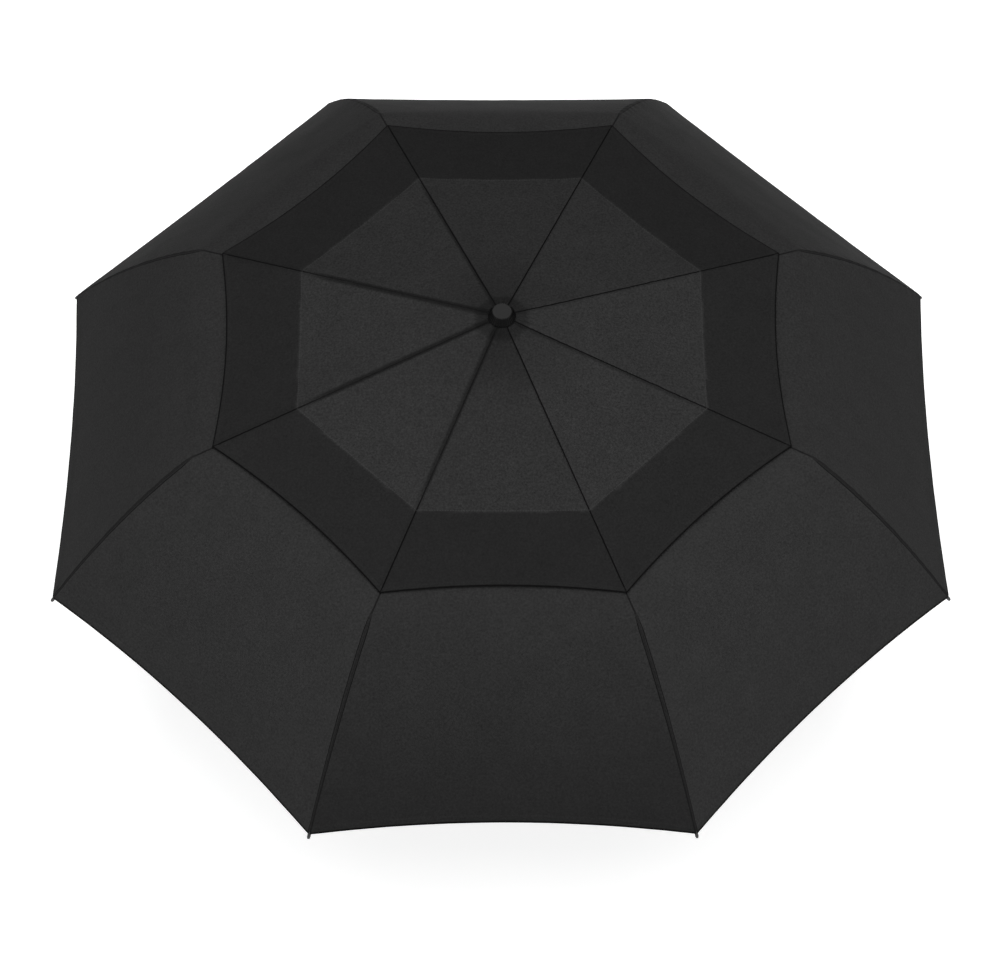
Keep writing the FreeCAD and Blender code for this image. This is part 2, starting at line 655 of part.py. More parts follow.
def button_space():
    """Clear space behind the button's window for its flange to travel in."""
    half_width = BUTTON_HALF_WIDTH + FLANGE_EXTRA + FLANGE_PLAY
    top = BUTTON_Z + BUTTON_HALF_HEIGHT + FLANGE_EXTRA + FLANGE_PLAY
    depth = SHELL_BORE - LOWER_TUBE_R
    return Part.makeBox(2 * half_width, depth, top, point(-half_width, 0, -SHELL_BORE))


def make_button():
    face = stadium(BUTTON_HALF_WIDTH, BUTTON_HALF_HEIGHT, BUTTON_FACE_Y, BUTTON_BACK_Y)
    wide = BUTTON_HALF_WIDTH + FLANGE_EXTRA
    tall = BUTTON_HALF_HEIGHT + FLANGE_EXTRA
    flange_front = BUTTON_BACK_Y - FLANGE_DEPTH
    flange = stadium(wide, tall, flange_front, BUTTON_BACK_Y)
    return face.fuse(flange).removeSplitter()


def make_latch():
    """Steel tongue behind the button, with its nose through the lower tube's window."""
    stem = Part.makeBox(
        2 * LATCH_HALF_WIDTH, LATCH_THICKNESS, LATCH_STEM_TOP - LATCH_Z,
        point(-LATCH_HALF_WIDTH, LATCH_Z, BUTTON_BACK_Y),
    )
    nose = Part.makeBox(
        2 * LATCH_HALF_WIDTH, LATCH_NOSE_Y - BUTTON_BACK_Y, LATCH_THICKNESS,
        point(-LATCH_HALF_WIDTH, LATCH_Z, BUTTON_BACK_Y),
    )
    return stem.fuse(nose).removeSplitter()


def make_button_spring():
    """Coil between the button's back and the lower tube."""
    length = -LOWER_TUBE_R - BUTTON_BACK_Y - 2 * BUTTON_SPRING_WIRE
    pitch = length / BUTTON_SPRING_TURNS
    path = Part.Wire(Part.makeHelix(pitch, length, BUTTON_SPRING_R).Edges)
    section = Part.Wire(Part.makeCircle(BUTTON_SPRING_WIRE / 2, point(BUTTON_SPRING_R, 0), Y_AXIS))
    coil = path.makePipeShell([section], True, True)
    coil.rotate(ORIGIN, X_AXIS, -90)
    coil.translate(point(0, BUTTON_SPRING_Z, BUTTON_BACK_Y + BUTTON_SPRING_WIRE / 2))
    return coil


def save_spokes():
    makers = {
        "top_rib": make_top_rib,
        "middle_rib": make_middle_rib,
        "stretcher": make_stretcher,
        "tail_rib": make_tail_rib,
        "rib_tip": make_rib_tip,
    }
    for name, make in makers.items():
        master = make()
        for index in range(RIB_COUNT):
            shape = master.copy()
            shape.rotate(ORIGIN, Z_AXIS, FIRST_SPOKE + index * SPOKE_PITCH)
            save(shape, f"{name}_{index + 1}")


def save_shaft():
    save(make_lower_tube(), "lower_tube")
    save(make_middle_tube(), "middle_tube")
    save(make_top_tube(), "top_tube")
    save(make_bush(LOWER_TUBE_BORE, MIDDLE_TUBE_R, LOWER_TUBE_R, LOWER_TUBE_TOP), "lower_bush")
    save(make_bush(MIDDLE_TUBE_BORE, TOP_TUBE_R, MIDDLE_TUBE_R, MIDDLE_TUBE_TOP), "middle_bush")
    save(make_opening_spring(), "opening_spring")
    save(make_runner(), "runner")


def save_crown_and_canopy():
    save(make_notch_crown(), "notch_crown")
    save(hinge_wire(), "notch_wire")
    save(make_ferrule_cap(), "ferrule_cap")
    save(make_upper_canopy(), "upper_canopy")
    save(make_lower_canopy(), "lower_canopy")


def save_handle():
    save(make_handle_shell(), "handle_shell")
    save(make_handle_plug(), "handle_plug")
    save(make_tube_socket(), "tube_socket")
    save(make_handle_collar(), "handle_collar")
    save(make_button(), "button")
    save(make_latch(), "latch")
    save(make_button_spring(), "button_spring")


os.makedirs("parts", exist_ok=True)
save_spokes()
save_shaft()
save_crown_and_canopy()
save_handle()
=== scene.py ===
import math

import bpy
import numpy as np
from mathutils import Matrix, Vector


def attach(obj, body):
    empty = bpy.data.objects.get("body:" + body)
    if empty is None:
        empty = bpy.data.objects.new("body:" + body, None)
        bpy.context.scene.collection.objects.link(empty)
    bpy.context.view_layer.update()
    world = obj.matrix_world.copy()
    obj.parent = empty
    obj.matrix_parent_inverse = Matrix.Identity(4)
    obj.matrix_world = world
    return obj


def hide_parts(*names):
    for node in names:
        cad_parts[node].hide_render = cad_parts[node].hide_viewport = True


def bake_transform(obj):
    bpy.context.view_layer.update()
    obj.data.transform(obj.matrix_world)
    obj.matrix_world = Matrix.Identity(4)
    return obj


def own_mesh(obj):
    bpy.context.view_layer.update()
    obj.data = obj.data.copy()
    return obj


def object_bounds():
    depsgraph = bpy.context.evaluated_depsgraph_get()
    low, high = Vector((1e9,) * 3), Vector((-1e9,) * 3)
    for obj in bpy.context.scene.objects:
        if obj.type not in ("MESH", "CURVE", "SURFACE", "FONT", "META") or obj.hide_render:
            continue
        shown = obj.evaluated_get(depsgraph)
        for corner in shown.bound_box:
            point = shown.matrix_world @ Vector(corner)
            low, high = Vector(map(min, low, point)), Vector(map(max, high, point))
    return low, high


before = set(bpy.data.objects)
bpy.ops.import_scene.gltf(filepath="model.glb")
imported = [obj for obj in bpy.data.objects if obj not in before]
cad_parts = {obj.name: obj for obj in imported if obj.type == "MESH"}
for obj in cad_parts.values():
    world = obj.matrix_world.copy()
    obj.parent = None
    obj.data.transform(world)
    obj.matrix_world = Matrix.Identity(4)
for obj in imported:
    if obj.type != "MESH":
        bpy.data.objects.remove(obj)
CAD_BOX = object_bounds()
SCENE = bpy.context.scene

# Metres, in the CAD's frame: +Z up the shaft, ribs at 22.5 degrees from +X and every 45 degrees.
# A gore is drawn in its own frame: rho from the shaft along its middle, side from the middle to a rib.

# ---- sizes repeated from the CAD
RIBS = 8
PITCH = 2 * math.pi / RIBS
HALF = PITCH / 2
COS_HALF, TAN_HALF = math.cos(HALF), math.tan(HALF)
HINGE_Z, HINGE_R = 0.630, 0.012
CAP_TOP_Z = 0.6453
SLOPE = math.radians(10.26)
FIRST_JOINT_R, SECOND_JOINT_R = 0.17486, 0.34820
UPPER_LIFT, LOWER_LIFT = 0.00495, 0.00255
UPPER_CORNER_R, UPPER_BOW = 0.3253, 0.0085
LOWER_INNER_R, BEND_R = 0.2240, 0.3495
HEM_R, HEM_Z, HEM_BOW = 0.5199, 0.3965, 0.0075
TAIL_BULGE = 0.0153
VENT_SEAM_R = 0.2312
APEX_R = 0.0097
DISC_R = 0.0148
PATCH_R = 0.0300
SPRING_FOOT, SPRING_TOP, TUBE_TRAVEL = 0.024, 0.640, 0.160
BUTTON_BACK_Y, BUTTON_COIL_FOOT_Y, BUTTON_COIL_Z, BUTTON_TRAVEL = -0.01345, -0.00725, 0.057, 0.002
OPENING_COIL, BUTTON_COIL = (0.0023, 0.0010, 64), (0.0022, 0.0005, 5)  # radius, wire, turns

# ---- fabric details
SEAM_GROOVE = 0.0009
THREAD_GROOVE = 0.00025
GROOVE_HALF_WIDTH = 0.0013
SEAM_DIP = 0.0003
SEAM_DIP_WIDTH = 0.0055

# ---- the folds' places beside a rib, and how far the tail's cloth would narrow; given here, not used to fold
GUSSET_OFFSET, GUSSET_KEEP, TAIL_KEEP = 0.0032, 0.006, 0.046

# ---- stitched edges and mesh spacing
HEM_WIDTH = 0.0060
HEM_STEP = 0.00035
NEAR_RIB = [0.0, 0.00035, 0.0008, 0.0013, 0.0020, 0.0031, 0.0047, 0.0070, 0.0105, 0.0150]
ROW_STEP = 0.0032
UPPER_COLUMNS = 13
LOWER_COLUMNS = 26


def rib_z(r, lift):
    """Height over a rib, at radius r, of a fabric that is lift above the rib line."""
    return HINGE_Z - (r - HINGE_R) * math.tan(SLOPE) + lift / math.cos(SLOPE)


def smooth(x, a, b):
    t = np.clip((x - a) / (b - a), 0, 1)
    return t * t * (3 - 2 * t)


# ---- the canopies' shapes
def upper_profile(rho, tau):
    return rib_z(rho / COS_HALF, UPPER_LIFT)


def lower_profile(rho, tau):
    """Straight from the vent to the second joint, then the arched tail, with a soft bend."""
    r = rho / COS_HALF
    straight = rib_z(r, LOWER_LIFT)
    t = (r - BEND_R) / (HEM_R - BEND_R)
    start = rib_z(BEND_R, LOWER_LIFT)
    tail = start + (HEM_Z - start) * t + TAIL_BULGE * 4 * t * (1 - t)
    k = 0.001 + 0.014 * (1 - tau ** 2)
    h = np.clip(0.5 + 0.5 * (tail - straight) / k, 0, 1)
    return tail * (1 - h) + straight * h - k * h * (1 - h)


def upper_sag(rho):
    return 0.0030 * smooth(rho, 0.03, 0.20)


def lower_sag(rho):
    return 0.0042 - 0.0034 * smooth(rho, 0.36, 0.47)


RNG = np.random.default_rng(11)
WAVES = [
    (RNG.uniform(0, 2 * math.pi), RNG.uniform(0.020, 0.075), RNG.uniform(0, 2 * math.pi))
    for _ in range(14)
]
RIB_PHASES = RNG.uniform(0, 2 * math.pi, (RIBS, 3))


def ripple(x, y):
    """Slow unevenness of taut cloth, from about -1 to 1."""
    total = np.zeros_like(x)
    for heading, length, phase in WAVES:
        total += np.sin((x * math.cos(heading) + y * math.sin(heading)) * 2 * math.pi / length + phase)
    return total / len(WAVES) * 1.6


def seam_shape(e, rho, tau, groove, phases):
    """Height near a rib's seam, e away from it: groove, dip and puckers. The joints' knuckles hold it up."""
    r = rho / COS_HALF
    knuckle = np.exp(-((r - FIRST_JOINT_R) / 0.006) ** 2) + np.exp(-((r - SECOND_JOINT_R) / 0.005) ** 2)
    cut = -groove * (1 - smooth(e, 0.0, GROOVE_HALF_WIDTH)) * (1 - 0.85 * np.minimum(knuckle, 1))
    dip = -SEAM_DIP * np.exp(-e / SEAM_DIP_WIDTH) * smooth(rho, 0.02, 0.06) * (1 - np.minimum(knuckle, 1))
    drift = 2.2 * np.sin(rho * 2 * math.pi / 0.061 + phases[1])
    wave = np.sin(rho * 2 * math.pi / 0.0125 + phases[0] + drift)
    pucker = 0.00020 * wave * np.exp(-((e - 0.004) / 0.006) ** 2) * smooth(tau, 0.0, 0.4)
    return cut + dip + pucker


class Gore:
    """Half a gore: the side of rib k towards a neighbour. side is +1 or -1."""

    def __init__(self, k, side, upper):
        rib = HALF + k * PITCH
        self.mid = rib + side * HALF
        self.m = np.array([math.cos(self.mid), math.sin(self.mid), 0.0])
        self.lat = -side * np.array([-math.sin(self.mid), math.cos(self.mid), 0.0])
        self.profile = upper_profile if upper else lower_profile
        self.sag = upper_sag if upper else lower_sag
        self.upper = upper
        self.side = side
        self.k = k
        self.phases = RIB_PHASES[k]

    def raw(self, rho, tau):
        """Point of the surface; tau is 0 at the gore's middle and 1 over the rib."""
        z = self.profile(rho, tau)
        step = 0.0005
        slope = (self.profile(rho + step, tau) - self.profile(rho - step, tau)) / (2 * step)
        length = np.sqrt(1 + slope ** 2)
        across = rho * TAN_HALF
        e = across * (1 - tau)
        base = rho[..., None] * self.m + (across * tau)[..., None] * self.lat
        lift = -self.sag(rho) * (1 - tau ** 2)
        calm = smooth(e, 0.002, 0.02)
        lift = lift + 0.00022 * ripple(base[..., 0], base[..., 1]) * calm
        if self.upper:
            groove = SEAM_GROOVE * smooth(rho, 0.010, 0.024)
            turn = np.arctan2(base[..., 1], base[..., 0])
            near = (1 - smooth(rho, 0.022, 0.055)) * smooth(rho, 0.012, 0.02)
            lift = lift + 0.00035 * near * (np.sin(19 * turn + 1.0) + np.sin(31 * turn + rho * 90))
        else:
            groove = THREAD_GROOVE + (SEAM_GROOVE - THREAD_GROOVE) * smooth(rho / COS_HALF, 0.350, 0.362)
        lift = lift + seam_shape(e, rho, tau, groove, self.phases)
        out = base - (lift * slope / length)[..., None] * self.m
        out[..., 2] = z + lift / length
        return out

    def at(self, rho, tau, offset=0.0):
        """(points, normals), the points moved by offset along the normal."""
        h = 0.0004
        p = self.raw(rho, tau)
        dr = self.raw(rho + h, tau) - self.raw(rho - h, tau)
        top, low = np.minimum(tau + 0.004, 1.0), np.maximum(tau - 0.004, 0.0)
        dt = self.raw(rho, top) - self.raw(rho, low)
        n = np.cross(dr, dt)
        n /= np.linalg.norm(n, axis=-1, keepdims=True)
        n *= np.sign(n[..., 2:3])
        middle = (tau < 1e-6)[..., None]
        n = np.where(middle, n - (n @ self.lat)[..., None] * self.lat, n)
        n /= np.linalg.norm(n, axis=-1, keepdims=True)
        return p + n * np.asarray(offset)[..., None], n


def taus(rho, count):
    """tau of each column of a row that meets the rib at rho, from the rib to the gore's middle."""
    across = rho * TAN_HALF
    near = np.array(NEAR_RIB)[:, None] * np.minimum(1, across / 0.045)[None, :]
    last = near[-1]
    rest = last[None, :] + (across - last)[None, :] * (np.arange(1, count + 1) / count)[:, None]
    e = np.concatenate([near, rest])
    return 1 - e / across[None, :]


# ---- meshes
def make_mesh(name, points, faces, normals=None, uvs=None, marks=None):
    mesh = bpy.data.meshes.new(name)
    mesh.from_pydata([tuple(p) for p in points], [], [tuple(f) for f in faces])
    mesh.update()
    for mark, values in (marks or {}).items():
        layer = mesh.attributes.new(mark, "FLOAT", "POINT")
        layer.data.foreach_set("value", np.asarray(values, np.float32))
    if uvs is not None:
        layer = mesh.uv_layers.new(name="UVMap")
        index = np.zeros(len(mesh.loops), np.int32)
        mesh.loops.foreach_get("vertex_index", index)
        layer.data.foreach_set("uv", np.asarray(uvs, np.float32)[index].ravel())
    mesh.polygons.foreach_set("use_smooth", [True] * len(mesh.polygons))
    if normals is not None:
        mesh.normals_split_custom_set_from_vertices([tuple(n) for n in normals])
    obj = bpy.data.objects.new(name, mesh)
    SCENE.collection.objects.link(obj)
    return obj


def grid_faces(rows, cols, start=0, flip=False):
    out = []
    for i in range(rows - 1):
        for j in range(cols - 1):
            a = start + i * cols + j
            quad = (a, a + 1, a + cols + 1, a + cols)
            out.append(quad[::-1] if flip else quad)
    return out


# How each rib's seam looks in the upper canopy, all of it painted shade: the widths of the painted shade
# beside it, on the side of rising and of falling azimuth, how dark that shade is, and how dark the painted
# shadow in the seam's own groove is.
SEAM_SHADES = [
    (0.0012, 0.0042, 0.35, 1.0),
    (0.0014, 0.0030, 0.30, 1.0),
    (0.0046, 0.0018, 0.62, 0.9),
    (0.0064, 0.0046, 0.70, 0.3),
    (0.0044, 0.0062, 0.70, 0.4),
    (0.0034, 0.0058, 0.60, 0.4),
    (0.0012, 0.0028, 0.30, 1.0),
    (0.0012, 0.0056, 0.46, 1.0),
]


# Painted shade: each gore's colour is darkened or lightened by the way it faces the lamps, and the lower
# canopy is darker towards the hem. Shades of the gores from +X round: upper canopy by the cap and further
# out, and lower canopy at the vent, mid-tail and the hem.
GORE_SHADES = [
    (0.98, 1.02, 1.00, 0.93, 0.84),
    (0.78, 0.88, 0.97, 0.78, 0.77),
    (0.66, 0.82, 0.98, 1.02, 1.02),
    (0.75, 0.88, 0.97, 0.60, 0.56),
    (0.96, 1.00, 0.97, 0.82, 0.84),
    (0.90, 1.02, 1.00, 0.99, 0.94),
    (0.63, 0.94, 0.94, 0.81, 0.63),
    (0.85, 1.01, 1.03, 1.02, 1.00),
]


# Painted shade of a gore, by the way it faces and by its distance from the cap.
def painted_gore_shade(gore, rho):
    by_cap, upper, vent, tail, hem = GORE_SHADES[round(gore.mid / PITCH) % RIBS]
    if gore.upper:
        return by_cap + (upper - by_cap) * smooth(rho, 0.03, 0.11)
    return np.interp(rho, [0.30, 0.39, 0.47], [vent, tail, hem])


def seam_marks(gore, rho, tau):
    """What the material draws a seam's painted shade from: the distance to it, the darkness of the painted
    shadow in its groove, and the painted shade band's half width, darkness and edge darkness."""
    gap = rho * TAN_HALF * (1 - tau)
    r = rho / COS_HALF
    if gore.upper:
        rising, falling, shade_depth, crisp = SEAM_SHADES[gore.k]
        outer = smooth(r, 0.19, 0.235)
        seam_shadow = crisp + (1 - crisp) * outer
        width = np.full_like(r, rising if gore.side > 0 else falling)
        return gap, seam_shadow, width, shade_depth * (1 - 0.75 * outer), 0 * r
    past = smooth(r, 0.342, 0.356)
    width = 0.0014 + 0.0018 * smooth(r, 0.342, 0.366) - 0.0012 * smooth(r, 0.40, 0.52)
    return gap, 0.75 * (1 - past), width, 0.50 * past, past


MARKS = ("double", "gore_shade", "vent", "seam_gap", "seam_shadow", "shade_band_width", "band", "shade_band_edge")


def vent_gap(gore, rho):
    return rho - VENT_SEAM_R * COS_HALF if gore.upper else np.ones_like(rho)


class Sheet:
    """Rows of points over half gores, gathered into one mesh with the marks that its material reads."""

    def __init__(self):
        self.points, self.normals, self.uvs = [], [], []
        self.marks = {mark: [] for mark in MARKS}
        self.faces = []
        self.count = 0

    def add(self, gore, rho, tau, offset, double, edge, flip):
        """rho, tau, offset, double and edge (distance to the free edge) are arrays of rows by columns."""
        p, n = gore.at(rho, tau, offset)
        rows, cols = rho.shape
        values = (double, painted_gore_shade(gore, rho), vent_gap(gore, rho)) + seam_marks(gore, rho, tau)
        self.points.append(p.reshape(-1, 3))
        self.normals.append(n.reshape(-1, 3))
        self.uvs.append(np.stack([rho * TAN_HALF * tau, edge], -1).reshape(-1, 2))
        for mark, value in zip(MARKS, values):
            self.marks[mark].append(value.ravel())
        self.faces += grid_faces(rows, cols, self.count, flip)
        self.count += rows * cols

    def build(self, name):
        marks = {k: np.concatenate(v) for k, v in self.marks.items()}
        return make_mesh(
            name, np.concatenate(self.points), self.faces,
            np.concatenate(self.normals), np.concatenate(self.uvs), marks,
        )


def rows_between(inner, outer, extra=()):
    """Shares from 0 to 1 for rows about ROW_STEP apart, with more at the shares in extra."""
    count = max(2, round((outer - inner) / ROW_STEP))
    shares = list(np.linspace(0, 1, count + 1)) + [s for s in extra if 0 < s < 1]
    return np.array(sorted(set(round(s, 6) for s in shares)))


HEM_ROWS = [  # (distance from the edge, offset along the normal)
    (HEM_WIDTH + 0.0012, 0.0), (HEM_WIDTH + 0.0003, 0.0), (HEM_WIDTH - 0.0003, HEM_STEP),
    (HEM_WIDTH * 0.5, HEM_STEP), (0.0010, HEM_STEP), (0.0003, HEM_STEP * 0.8),
    (0.0, 0.0), (0.0003, -HEM_STEP * 0.9), (0.0012, -HEM_STEP), (HEM_WIDTH, -HEM_STEP),
]


def fill(sheet, gore, inner, outer, count, hem=False, double=None, rough_span=None):
    """Cloth over a half gore between two lines, which give rho from tau. Rows are kept at the vent's seam and
    the patch's edge. rough_span sets the rho that spaces the columns, so that neighbours meet."""
    start, stop = float(inner(1.0)), float(outer(1.0))
    low, high = rough_span or (start, stop)
    widest = max(stop - start, float(outer(0.0) - inner(0.0)))
    marks = [PATCH_R * COS_HALF, VENT_SEAM_R * COS_HALF] if gore.upper else []
    extra = [(at + d - start) / widest for at in marks for d in (-0.0006, -0.0001, 0.0001, 0.0006)]
    shares = np.array(rows_between(0.0, widest, extra))
    gaps = np.full(len(shares), np.nan)
    offsets = np.zeros(len(shares))
    if hem:
        shares = np.concatenate([shares, np.ones(len(HEM_ROWS))])
        gaps = np.concatenate([gaps, [d for d, _ in HEM_ROWS]])
        offsets = np.concatenate([offsets, [o for _, o in HEM_ROWS]])
    tau = taus(low + (high - low) * shares, count).T
    edge_rho, first = outer(tau), inner(tau)
    end = edge_rho - (HEM_ROWS[0][0] + 0.5 * ROW_STEP if hem else 0)
    rho = first + (end - first) * shares[:, None]
    in_hem = ~np.isnan(gaps)
    rho[in_hem] = edge_rho[in_hem] - gaps[in_hem][:, None]
    mark = double(rho) if double else np.zeros_like(rho)
    edge = np.abs(edge_rho - rho) if hem else np.ones_like(rho)
    sheet.add(gore, rho, tau, offsets[:, None] * np.ones_like(rho), mark, edge, gore.side > 0)


def line(r):
    """A line straight across the gore, through radius r on the rib."""
    return lambda tau: np.full_like(np.asarray(tau, float), r * COS_HALF)


def bowed(r, bow):
    return lambda tau: r * COS_HALF - bow * (1 - np.asarray(tau, float) ** 2)


# ---- materials
def new_material(name):
    material = bpy.data.materials.new(name)
    material.use_nodes = True
    tree = material.node_tree
    tree.nodes.clear()
    out = tree.nodes.new("ShaderNodeOutputMaterial")
    shader = tree.nodes.new("ShaderNodeBsdfPrincipled")
    tree.links.new(shader.outputs[0], out.inputs[0])
    return material, tree, shader


def node(tree, kind, inputs=None, **settings):
    made = tree.nodes.new(kind)
    for key, value in settings.items():
        setattr(made, key, value)
    for key, value in (inputs or {}).items():
        if isinstance(value, bpy.types.NodeSocket):
            tree.links.new(value, made.inputs[key])
        else:
            made.inputs[key].default_value = value
    return made


def math_node(tree, operation, a, b=None, clamp=False):
    inputs = {0: a}
    if b is not None:
        inputs[1] = b
    return node(tree, "ShaderNodeMath", inputs, operation=operation, use_clamp=clamp).outputs[0]


def noise(tree, vector, scale, detail=2.0, rough=0.5):
    inputs = {"Vector": vector, "Scale": scale, "Detail": detail, "Roughness": rough}
    return node(tree, "ShaderNodeTexNoise", inputs).outputs["Fac"]


def ranged(tree, value, a, b, c, d):
    inputs = {"Value": value, "From Min": a, "From Max": b, "To Min": c, "To Max": d}
    return node(tree, "ShaderNodeMapRange", inputs).outputs[0]


def mixed(tree, factor, a, b, blend="MIX"):
    made = node(tree, "ShaderNodeMix", data_type="RGBA", blend_type=blend)
    for index, value in ((0, factor), (6, a), (7, b)):
        if isinstance(value, bpy.types.NodeSocket):
            tree.links.new(value, made.inputs[index])
        else:
            made.inputs[index].default_value = value
    return made.outputs[2]


def grey(value, tint=(1.0, 1.0, 1.0)):
    return (value * tint[0], value * tint[1], value * tint[2], 1.0)


def fabric_material(name, base, layered_shade, grain, seam_shadow_reach):
    """Fine pongee: weave, grain and stitches, with painted shade: darker where two layers lie together, by
    the way each gore faces, and along and beside each seam, and a painted shadow at the hem's edge.
    """
    material, tree, shader = new_material(name)
    coords = node(tree, "ShaderNodeTexCoord")
    place, flat = coords.outputs["Object"], coords.outputs["UV"]
    marks = {mark: node(tree, "ShaderNodeAttribute", attribute_name=mark).outputs["Fac"] for mark in MARKS}
    coarse = noise(tree, place, 470.0, 3.0, 0.65)
    fine = noise(tree, place, 1500.0, 2.0, 0.6)
    broad = noise(tree, place, 24.0, 2.0, 0.5)
    stretched = node(tree, "ShaderNodeMapping", {"Vector": place, "Scale": (60.0, 60.0, 9.0)})
    streak = noise(tree, stretched.outputs[0], 1.0)
    calm = ranged(tree, marks["double"], 0.0, 1.0, grain, grain * 0.70)
    speck = math_node(tree, "ADD", coarse, math_node(tree, "MULTIPLY", fine, 0.35))
    speck = math_node(tree, "SUBTRACT", speck, 0.675)
    speck = math_node(tree, "MULTIPLY", math_node(tree, "MULTIPLY", speck, 4.0), calm)
    speck = math_node(tree, "ADD", 1.0, speck)
    # Painted shade: darker where two layers lie together, standing in for the light that one layer lets
    # through.
    colour = mixed(tree, marks["double"], grey(base), grey(base * layered_shade))
    colour = mixed(tree, 1.0, colour, speck, "MULTIPLY")
    # Painted shade: each gore's factor for the way it faces the lamps.
    colour = mixed(tree, 1.0, colour, marks["gore_shade"], "MULTIPLY")
    colour = mixed(tree, 1.0, colour, ranged(tree, broad, 0.3, 0.7, 0.95, 1.05), "MULTIPLY")
    colour = mixed(tree, 1.0, colour, ranged(tree, streak, 0.3, 0.7, 0.97, 1.03), "MULTIPLY")
    # Painted shade in a band beside each seam, with darker band edges on the tail.
    share = math_node(tree, "DIVIDE", marks["seam_gap"], marks["shade_band_width"])
    band = math_node(tree, "MULTIPLY", ranged(tree, share, 0.45, 1.0, 1.0, 0.0), marks["band"])
    shade_band_rim = math_node(tree, "ABSOLUTE", math_node(tree, "SUBTRACT", share, 0.74))
    shade_band_rim = math_node(tree, "MULTIPLY", ranged(tree, shade_band_rim, 0.10, 0.24, 1.0, 0.0), marks["shade_band_edge"])
    colour = mixed(tree, math_node(tree, "MAXIMUM", band, shade_band_rim), colour, grey(base * 0.17))
    # Painted shadow in each seam's groove.
    seam_shadow = ranged(tree, marks["seam_gap"], 0.0004, seam_shadow_reach, 1.0, 0.0)
    seam_shadow = math_node(tree, "MULTIPLY", seam_shadow, marks["seam_shadow"])
    colour = mixed(tree, seam_shadow, colour, grey(base * 0.08))
    split = node(tree, "ShaderNodeSeparateXYZ", {0: flat})
    along, gap = split.outputs[0], split.outputs[1]
    dash = math_node(tree, "FRACT", math_node(tree, "MULTIPLY", along, 1 / 0.0027))
    dash = math_node(tree, "GREATER_THAN", dash, 0.35)
    stitches = None
    for distance, centre, strength in ((gap, HEM_WIDTH - 0.0012, 0.10), (marks["vent"], -0.0010, 0.60)):
        row = math_node(tree, "ABSOLUTE", math_node(tree, "SUBTRACT", distance, centre))
        row = ranged(tree, row, 0.0003, 0.0006, strength, 0.0)
        row = math_node(tree, "MULTIPLY", row, dash)
        stitches = row if stitches is None else math_node(tree, "MAXIMUM", stitches, row)
    colour = mixed(tree, stitches, colour, grey(base * 1.7))
    # Painted shadow: a dark line along the free edge, where the edge stands over the cloth below.
    colour = mixed(tree, ranged(tree, gap, 0.0009, 0.0019, 0.93, 0.0), colour, grey(base * 0.06))
    tree.links.new(colour, shader.inputs["Base Color"])
    threads = [
        math_node(tree, "SINE", math_node(tree, "MULTIPLY", source, 2 * math.pi / 0.00055))
        for source in (along, gap)
    ]
    height = math_node(tree, "MULTIPLY", math_node(tree, "MULTIPLY", threads[0], threads[1]), 0.5)
    height = math_node(tree, "ADD", height, math_node(tree, "MULTIPLY", coarse, 1.4))
    height = math_node(tree, "ADD", height, math_node(tree, "MULTIPLY", stitches, 1.6))
    bump = node(tree, "ShaderNodeBump", {"Height": height, "Strength": 0.30, "Distance": 0.00012})
    tree.links.new(bump.outputs[0], shader.inputs["Normal"])
    tree.links.new(ranged(tree, broad, 0.2, 0.8, 0.80, 0.92), shader.inputs["Roughness"])
    shader.inputs["Specular IOR Level"].default_value = 0.06
    return material


def solid_material(name, base, rough, metallic=0.0, tint=(1, 1, 1), scale=(300.0, 300.0, 300.0),
                   bump=0.05, variation=0.12, coat=0.0, specular=0.5, distance=0.0002, rough_spread=0.08):
    """Plastic, paint or metal with fine unevenness in colour, gloss and height."""
    material, tree, shader = new_material(name)
    coords = node(tree, "ShaderNodeTexCoord")
    stretched = node(tree, "ShaderNodeMapping", {"Vector": coords.outputs["Object"], "Scale": scale})
    fine = noise(tree, stretched.outputs[0], 1.0, 3.0, 0.55)
    broad = noise(tree, coords.outputs["Object"], 35.0, 2.0, 0.5)
    shade = ranged(tree, fine, 0.3, 0.7, 1 - variation, 1 + variation)
    shade2 = ranged(tree, broad, 0.3, 0.7, 1 - variation * 0.6, 1 + variation * 0.6)
    colour = mixed(tree, 1.0, grey(base, tint), shade, "MULTIPLY")
    colour = mixed(tree, 1.0, colour, shade2, "MULTIPLY")
    tree.links.new(colour, shader.inputs["Base Color"])
    gloss = ranged(tree, fine, 0.25, 0.75, rough - rough_spread, rough + rough_spread)
    tree.links.new(gloss, shader.inputs["Roughness"])
    lumps = node(tree, "ShaderNodeBump", {"Height": fine, "Strength": bump, "Distance": distance})
    tree.links.new(lumps.outputs[0], shader.inputs["Normal"])
    shader.inputs["Metallic"].default_value = metallic
    shader.inputs["Coat Weight"].default_value = coat
    shader.inputs["Specular IOR Level"].default_value = specular
    return material


def cap_material():
    """Moulded cap of dark plastic, its top disc painted a lighter grey than the side: a painted reflection of
    the light above.
    """
    material = solid_material("cap_plastic", 0.0022, 0.38, bump=0.04, variation=0.08, specular=0.13)
    tree = material.node_tree
    shader = next(n for n in tree.nodes if n.type == "BSDF_PRINCIPLED")
    place = node(tree, "ShaderNodeTexCoord").outputs["Object"]
    split = node(tree, "ShaderNodeSeparateXYZ", {0: place})
    # Painted reflection: the top disc gets a lighter colour than the side below its edge.
    height = ranged(tree, split.outputs[2], CAP_TOP_Z - 0.0009, CAP_TOP_Z - 0.0002, 0.0, 1.0)
    grain = ranged(tree, noise(tree, place, 900.0), 0.3, 0.7, 0.0155, 0.0190)
    shade = mixed(tree, height, shader.inputs["Base Color"].links[0].from_socket, grain)
    tree.links.new(shade, shader.inputs["Base Color"])
    return material


def paint(nodes, material):
    for name in nodes:
        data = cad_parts[name].data
        data.materials.clear()
        data.materials.append(material)


